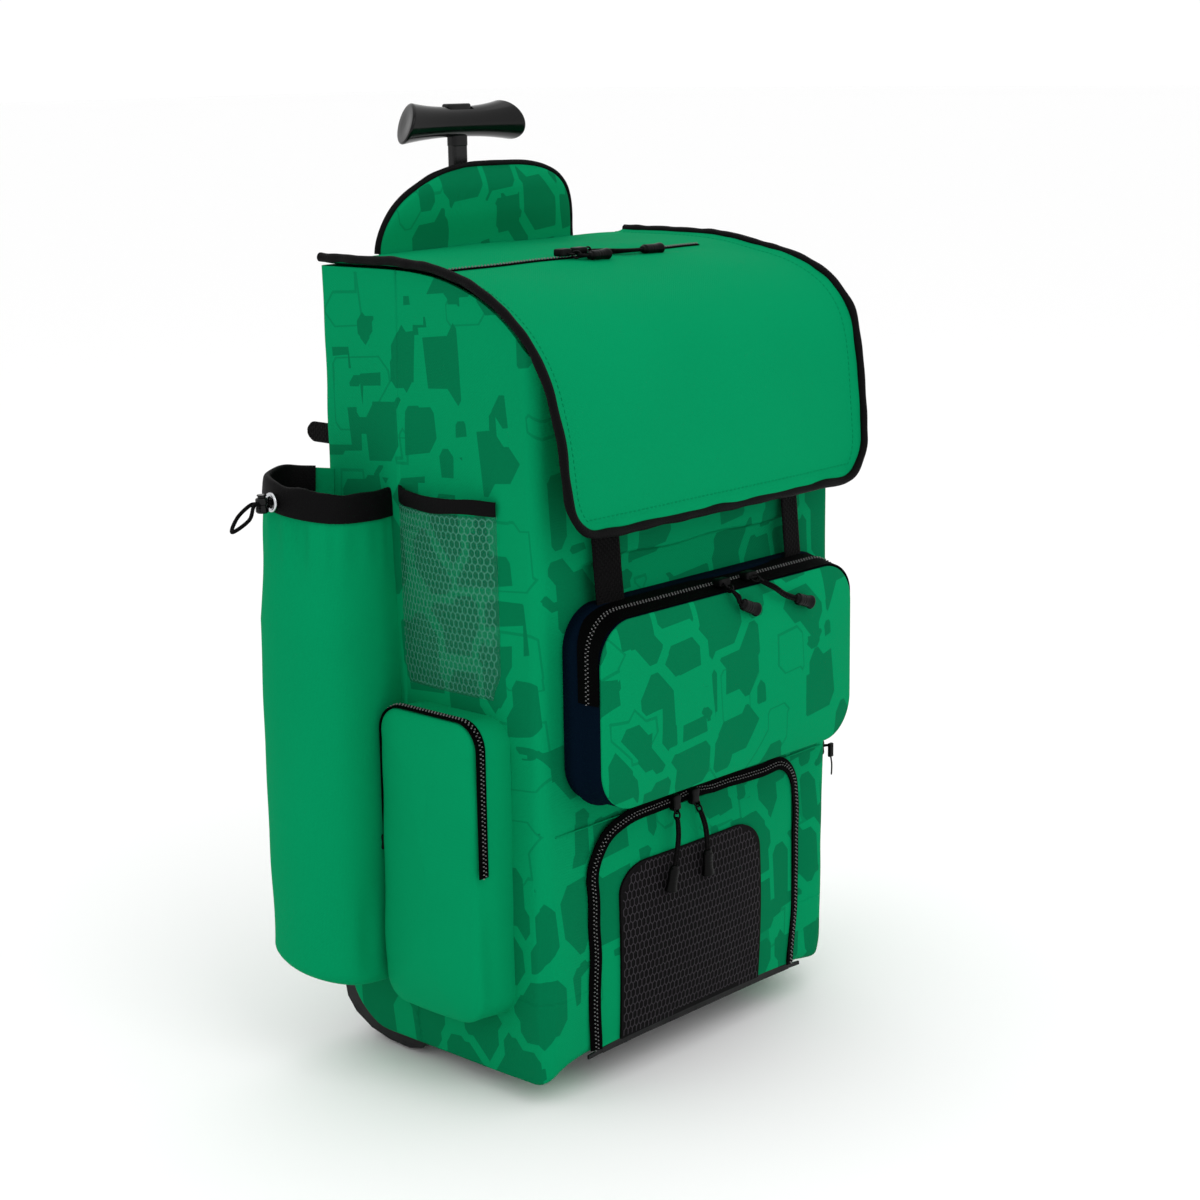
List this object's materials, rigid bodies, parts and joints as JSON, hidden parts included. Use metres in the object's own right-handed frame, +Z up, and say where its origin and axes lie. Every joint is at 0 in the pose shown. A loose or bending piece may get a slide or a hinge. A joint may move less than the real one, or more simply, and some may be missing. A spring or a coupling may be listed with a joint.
{
  "type": "wheeled bat backpack",
  "caption": "Upright wheeled sports bag with a hanging lid, zipped pockets, open bat sleeves, net pockets and a sliding T-handle.",
  "frame": {"origin": "middle of the footprint, on the floor that the feet and wheels stand on", "axes": "+Z up, +Y from the front to the back panel and handle, +X to the right as seen from the front"},
  "size_m": [0.5702, 0.3198, 0.746],
  "materials": {
    "green_cloth": "matte woven polyester",
    "patterned_cloth": "matte woven polyester with a tone-on-tone pattern",
    "dark_cloth": "matte dark navy weave",
    "black_trim": "matte webbing and binding",
    "zip": "coil zip on woven tape",
    "pull": "satin",
    "net": "open hexagonal net",
    "vent": "hexagonal spacer mesh",
    "ring": "polished",
    "gloss_black": "gloss",
    "moulded_black": "fine moulded grain",
    "post": "satin black",
    "axle": "plain steel",
    "tyre": "matte rubber",
    "hub": "satin"
  },
  "bodies": {
    "bag": {"bag_body": "patterned_cloth", "lid_flap": "green_cloth", "lid_piping": "black_trim", "lid_zip": "zip", "lid_pull_left": "pull", "lid_pull_right": "pull", "lid_strap_left": "black_trim", "lid_strap_right": "black_trim", "front_pocket_gusset": "dark_cloth", "front_pocket_face": "patterned_cloth", "front_pocket_zip": "zip", "front_pull_left": "pull", "front_pull_right": "pull", "door_panel": "patterned_cloth", "door_zip": "zip", "door_vent": "vent", "door_pull_left": "pull", "door_pull_right": "pull", "side_pocket_left": "green_cloth", "side_pocket_right": "green_cloth", "side_zip_left": "zip", "side_zip_right": "zip", "mesh_pocket_left": "net", "mesh_pocket_right": "net", "mesh_binding_left": "black_trim", "mesh_binding_right": "black_trim", "bat_sleeve_left": "green_cloth", "bat_sleeve_right": "green_cloth", "sleeve_binding_left": "black_trim", "sleeve_binding_right": "black_trim", "eyelet_left": "ring", "eyelet_right": "ring", "cord_lock_left": "gloss_black", "cord_lock_right": "gloss_black", "drawcord_left": "black_trim", "drawcord_right": "black_trim", "back_panel": "patterned_cloth", "back_binding": "black_trim", "seam_tab_left": "black_trim", "seam_tab_right": "black_trim", "base_pan": "moulded_black", "wheel_axle_left": "axle", "wheel_axle_right": "axle", "handle_housing": "moulded_black"},
    "handle": {"handle_post": "post", "handle_grip": "gloss_black"},
    "button": {"handle_button": "gloss_black"},
    "wheel_left": {"wheel_tyre_left": "tyre", "wheel_hub_left": "hub"},
    "wheel_right": {"wheel_tyre_right": "tyre", "wheel_hub_right": "hub"}
  },
  "joints": [
    {"name": "handle_slide", "type": "slide", "parent": "bag", "child": "handle", "axis": [0, 0, 1], "range_m": [-0.078, 0.3]},
    {"name": "button_press", "type": "slide", "parent": "handle", "child": "button", "axis": [0, 0, -1], "range_m": [0, 0.0035], "stiffness_N_per_m": 600},
    {"name": "wheel_left_spin", "type": "hinge", "parent": "bag", "child": "wheel_left", "pos_m": [-0.151, 0.08735, 0.038], "axis": [1, 0, 0], "continuous": true},
    {"name": "wheel_right_spin", "type": "hinge", "parent": "bag", "child": "wheel_right", "pos_m": [0.151, 0.08735, 0.038], "axis": [1, 0, 0], "continuous": true}
  ]
}
